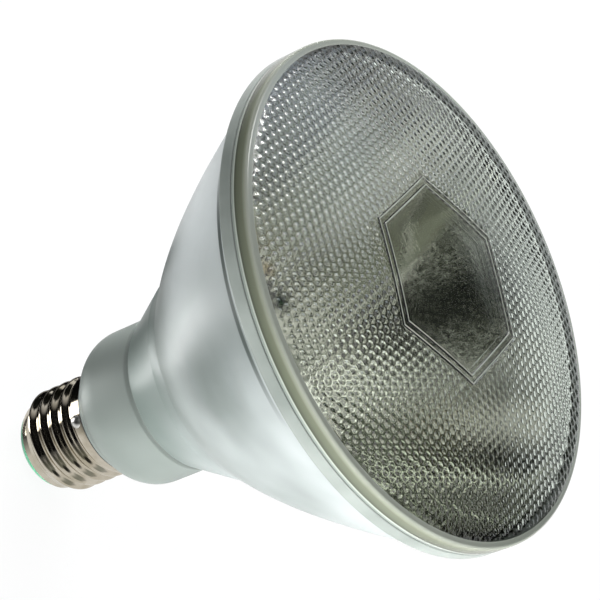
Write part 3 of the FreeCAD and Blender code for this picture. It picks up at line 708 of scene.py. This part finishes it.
def makeLens():
    mesh = evaluated("stippledLens", makeStippleTree(), stipple, lensGlass)
    bm = bmesh.new()
    bm.from_mesh(mesh)
    for ring in openRings(bm):
        angles = [math.atan2(v.co.y, v.co.x) for v in ring]
        isRim = ring[0].co.xy.length > (lens["panel"] + lens["rim"]) / 2 * mm
        for vert, a in zip(ring, angles):
            radius = lens["plainFrom"] if isRim else panelEdge * sixSided(a)
            vert.co = Vector((radius * math.cos(a), radius * math.sin(a), domeHeight(radius))) * mm
        if isRim:
            growRim(bm, ring, angles)
        else:
            growPanel(bm, ring, angles)
    bmesh.ops.remove_doubles(bm, verts=bm.verts, dist=0.004 * mm)
    bmesh.ops.dissolve_degenerate(bm, edges=bm.edges, dist=0.002 * mm)
    bmesh.ops.recalc_face_normals(bm, faces=bm.faces)
    bm.to_mesh(mesh)
    bm.free()
    place("stippledLens", mesh, [lensGlass, fusedEdge, paleLineHighlight], ["front_lens"], smoothAngle=50)


makeLens()
print("lens done")

# Filament: a coiled wire on two straight legs
filament = {
    "Turns": 14.0, "Coil radius": 0.75 * mm, "Coil length": 12.4 * mm, "Wire radius": 0.15 * mm,
    "Leg span": 14.4 * mm, "Height": 67.55 * mm,
}


def makeFilamentTree():
    tree, value = newGroup("coiledFilament", filament)
    coil = addNode(tree, "GeometryNodeCurveSpiral", {
        "Resolution": 16,
        "Rotations": value["Turns"],
        "Start Radius": value["Coil radius"],
        "End Radius": value["Coil radius"],
        "Height": value["Coil length"],
    })
    halfCoil = addNode(tree, mathNode, [value["Coil length"], -0.5], operation="MULTIPLY")
    back = addNode(tree, "ShaderNodeCombineXYZ", {"Z": halfCoil})
    together = addNode(tree, "GeometryNodeJoinGeometry", [
        addNode(tree, "GeometryNodeTransform", {"Geometry": coil, "Translation": back}),
    ])
    for side in (-0.5, 0.5):
        coilEnd = addNode(tree, mathNode, [value["Coil length"], side], operation="MULTIPLY")
        legEnd = addNode(tree, mathNode, [value["Leg span"], side], operation="MULTIPLY")
        near = addNode(tree, "ShaderNodeCombineXYZ", {"X": value["Coil radius"], "Z": coilEnd})
        far = addNode(tree, "ShaderNodeCombineXYZ", {"Z": legEnd})
        leg = addNode(tree, "GeometryNodeCurvePrimitiveLine", {"Start": near, "End": far})
        tree.links.new(leg.outputs[0], together.inputs[0])
    section = addNode(tree, "GeometryNodeCurvePrimitiveCircle", {"Resolution": 6, "Radius": value["Wire radius"]})
    wire = addNode(tree, "GeometryNodeCurveToMesh", {"Curve": together, "Profile Curve": section, "Fill Caps": True})
    up = addNode(tree, "ShaderNodeCombineXYZ", {"Z": value["Height"]})
    laid = addNode(tree, "GeometryNodeTransform", {
        "Geometry": wire,
        "Translation": up,
        "Rotation": (0, math.radians(90), math.radians(-86.3)),
    })
    return finishGroup(tree, laid, value)


coilMesh = evaluated("filamentCoil", makeFilamentTree(), filament, tungsten)
place("filamentCoil", coilMesh, [tungsten], ["filament"])
print("filament done")


# Camera where the photo was taken from, in mm
view = {
    "spot": (163.6, -527.8, 461.9), "right": (0.21612, 0.61030, 0.76211), "back": (0.25837, -0.78849, 0.55817),
    "lens": 172.2, "sensor": 36.0,
}


def placeCamera(v):
    right = Vector(v["right"]).normalized()
    back = Vector(v["back"]).normalized()
    up = back.cross(right)
    camera = bpy.data.objects.new("camera", bpy.data.cameras.new("camera"))
    bpy.context.collection.objects.link(camera)
    turn = Matrix((right, up, back)).transposed().to_4x4()
    camera.matrix_world = Matrix.Translation(Vector(v["spot"]) * mm) @ turn
    camera.data.sensor_width = v["sensor"]
    camera.data.lens = v["lens"]
    camera.data.clip_start = 0.01
    bpy.context.scene.camera = camera


placeCamera(view)


# Pale floor that shows white behind the lamp and keeps its shadow
def makeFloor(half):
    material, tree = newMaterial("paleFloor")
    rays = addNode(tree, "ShaderNodeLightPath").outputs
    seen = addNode(tree, mathNode, [rays["Is Camera Ray"], rays["Is Glossy Ray"]], operation="MAXIMUM")
    seen = addNode(tree, mathNode, [seen, rays["Is Transmission Ray"]], operation="MAXIMUM")
    # a tenth of the paint stays, so that the shadow still shows
    share = addNode(tree, mathNode, [seen, 0.9], operation="MULTIPLY")
    paint = addNode(tree, "ShaderNodeBsdfDiffuse", {"Color": linear("#f8f9f9")})
    glow = addNode(tree, "ShaderNodeEmission", {"Color": linear("#ffffff"), "Strength": 1.0})
    mix = addNode(tree, "ShaderNodeMixShader", [share, paint, glow])
    addNode(tree, "ShaderNodeOutputMaterial", {"Surface": mix})
    corners = [(-half, -half, 0), (half, -half, 0), (half, half, 0), (-half, half, 0)]
    stageSheet("floor", corners, [(0, 1, 2, 3)], material)


def stageSheet(name, corners, faces, material):
    mesh = bpy.data.meshes.new(name)
    mesh.from_pydata(corners, [], faces)
    mesh.materials.append(material)
    sheet = bpy.data.objects.new(name, mesh)
    bpy.context.collection.objects.link(sheet)
    return sheet


makeFloor(4)

# Cards near the lamp that only show in its glossy surfaces: azimuths in degrees, radii and heights in mm
cards = {
    "darkFloorCard": {
        "middle": -150, "half": 80, "fade": 40, "low": (17, 0.2), "high": (46, 0.2), "tone": "#0b0b0b", "glow": 1.0,
    },
    "greyFloorCard": {
        "middle": -122, "half": 76, "fade": 36, "low": (46, 0.1), "high": (92, 0.1), "tone": "#2b302d", "glow": 1.0,
    },
    "darkFarCard": {
        "middle": -104, "half": 78, "fade": 40, "low": (92, 0.5), "high": (92, 105), "tone": "#0b0b0b", "glow": 1.0,
    },
    "darkLeftCard": {
        "middle": 163, "half": 36, "fade": 8, "low": (60, 0.5), "high": (60, 18), "tone": "#0b0b0b", "glow": 1.0,
    },
    "brightStrip": {
        "middle": -121, "half": 14, "fade": 4, "low": (18, 0.6), "high": (58, 0.6), "tone": "#ffffff", "glow": 8.0,
    },
    "rimGleamCard": {
        "middle": -171, "half": 12, "fade": 3, "low": (122, 212), "high": (122, 264), "tone": "#ffffff", "glow": 20.0,
    },
}


def makeCard(name, v):
    material, tree = newMaterial(name)
    middle = math.radians(v["middle"])
    where = addNode(tree, "ShaderNodeTexCoord").outputs["Object"]
    flat = addNode(tree, vectorNode, [where, (1, 1, 0)], operation="MULTIPLY")
    towards = addNode(tree, vectorNode, [flat], operation="NORMALIZE")
    along = addNode(tree, vectorNode, [towards, (math.cos(middle), math.sin(middle), 0)], operation="DOT_PRODUCT")
    edge = math.cos(math.radians(v["half"]))
    full = math.cos(math.radians(v["half"] - v["fade"]))
    share = addNode(tree, "ShaderNodeMapRange", [along.outputs["Value"], edge, full, 0.0, 1.0])
    clear = addNode(tree, "ShaderNodeBsdfTransparent")
    glow = addNode(tree, "ShaderNodeEmission", {"Color": linear(v["tone"]), "Strength": v["glow"]})
    mix = addNode(tree, "ShaderNodeMixShader", [share, clear, glow])
    addNode(tree, "ShaderNodeOutputMaterial", {"Surface": mix})
    steps = 24
    corners = []
    for k in range(steps + 1):
        a = middle + math.radians(v["half"]) * (2 * k / steps - 1)
        for radius, height in (v["low"], v["high"]):
            corners.append(Vector((radius * math.cos(a), radius * math.sin(a), height)) * mm)
    faces = [(2 * k, 2 * k + 1, 2 * k + 3, 2 * k + 2) for k in range(steps)]
    card = stageSheet(name, corners, faces, material)
    card.visible_camera = False
    card.visible_diffuse = False
    card.visible_shadow = False
    card.visible_transmission = False


for name, values in cards.items():
    makeCard(name, values)

# Studio round the lamp: soft boxes with dark gaps between them, and a few cards whose places and soft edges are in
# degrees. The camera sees plain white instead.
studio = {
    "scale": 1.7, "gap": 0.38, "box": 0.48, "dark": "#10120e", "bright": "#ffffff",
    "cards": [
        {"azimuth": 108, "elevation": 40, "inner": 14, "outer": 24, "tone": "#2c302c", "glow": 1.0},
        {"azimuth": 108, "elevation": 2, "inner": 12, "outer": 24, "tone": "#f4fffa", "glow": 1.1},
        {"azimuth": 14, "elevation": 22, "inner": 4, "outer": 16, "tone": "#a9aeaa", "glow": 1.0},
        {"azimuth": -14, "elevation": 42, "inner": 6, "outer": 14, "tone": "#2c2f2a", "glow": 1.0},
        {"azimuth": -86, "elevation": 27, "inner": 13, "outer": 21, "tone": "#0e100c", "glow": 1.0},
        {"azimuth": -40, "elevation": 29, "inner": 14, "outer": 18, "tone": "#8e9186", "glow": 1.0},
        {"azimuth": -130, "elevation": 34, "inner": 12, "outer": 18, "tone": "#5c6057", "glow": 1.0},
        {"azimuth": -124, "elevation": 40, "inner": 8, "outer": 12, "tone": "#fafcff", "glow": 3.2},
        {"azimuth": -156, "elevation": 20, "inner": 9, "outer": 14, "tone": "#ffffff", "glow": 2.0},
        {"azimuth": -88, "elevation": 60, "inner": 8, "outer": 16, "tone": "#b4b9b4", "glow": 1.0},
        {"azimuth": 136, "elevation": 40, "inner": 5, "outer": 16, "tone": "#e6f2fc", "glow": 2.6},
        {"azimuth": 158, "elevation": 48, "inner": 6, "outer": 14, "tone": "#ffffff", "glow": 6.0},
    ],
}


def makeWorld(v):
    world = bpy.data.worlds.new("studio")
    bpy.context.scene.world = world
    world.use_nodes = True
    tree = world.node_tree
    tree.nodes.clear()
    direction = addNode(tree, "ShaderNodeTexCoord").outputs["Generated"]
    boxes = addNode(tree, "ShaderNodeTexVoronoi", {"Vector": direction, "Scale": v["scale"]})
    tone = addNode(tree, "ShaderNodeValToRGB", [boxes], [(v["gap"], v["dark"]), (v["box"], v["bright"])])
    for card in v["cards"]:
        a = math.radians(card["azimuth"])
        e = math.radians(card["elevation"])
        aim = (math.cos(a) * math.cos(e), math.sin(a) * math.cos(e), math.sin(e))
        along = addNode(tree, vectorNode, [direction, aim], operation="DOT_PRODUCT").outputs["Value"]
        share = addNode(tree, "ShaderNodeMapRange", [
            along, math.cos(math.radians(card["outer"])), math.cos(math.radians(card["inner"])), 0.0, 1.0,
        ], interpolation_type="SMOOTHSTEP")
        glow = [c * card["glow"] for c in linear(card["tone"])]
        mixed = addNode(tree, "ShaderNodeMix", {0: share, 6: tone, 7: glow}, data_type="RGBA")
        tone = mixed.outputs[2]
    soft = addNode(tree, "ShaderNodeBackground", {"Color": tone, "Strength": 1.0})
    white = addNode(tree, "ShaderNodeBackground", {"Color": linear("#ffffff"), "Strength": 1.0})
    rays = addNode(tree, "ShaderNodeLightPath")
    mix = addNode(tree, "ShaderNodeMixShader", [rays.outputs["Is Camera Ray"], soft, white])
    addNode(tree, "ShaderNodeOutputWorld", {"Surface": mix})


makeWorld(studio)

# Soft lamps, which only light the surfaces and don't show in them: places and sizes in metres
lampAim = Vector((0, 0, 0.07))
lamps = {
    "keyLamp": {"spot": (-0.35, -0.6, 0.55), "size": (0.5, 0.5), "power": 0.7},
    "sideLamp": {"spot": (0.5, -0.2, 0.04), "size": (0.4, 0.08), "power": 8.2},
    "backLamp": {"spot": (-0.5, 0.2, 0.06), "size": (0.3, 0.1), "power": 6.0},
}


def addLamp(name, v):
    light = bpy.data.lights.new(name, "AREA")
    light.shape = "RECTANGLE"
    light.size, light.size_y = v["size"]
    light.energy = v["power"]
    lamp = bpy.data.objects.new(name, light)
    bpy.context.collection.objects.link(lamp)
    lamp.location = v["spot"]
    lamp.rotation_euler = (lampAim - Vector(v["spot"])).to_track_quat("-Z", "Y").to_euler()
    lamp.visible_camera = False
    lamp.visible_glossy = False
    lamp.visible_transmission = False


for name, values in lamps.items():
    addLamp(name, values)
print("camera, floor, studio and lamps done")

bpy.context.scene.view_settings.view_transform = "Standard"
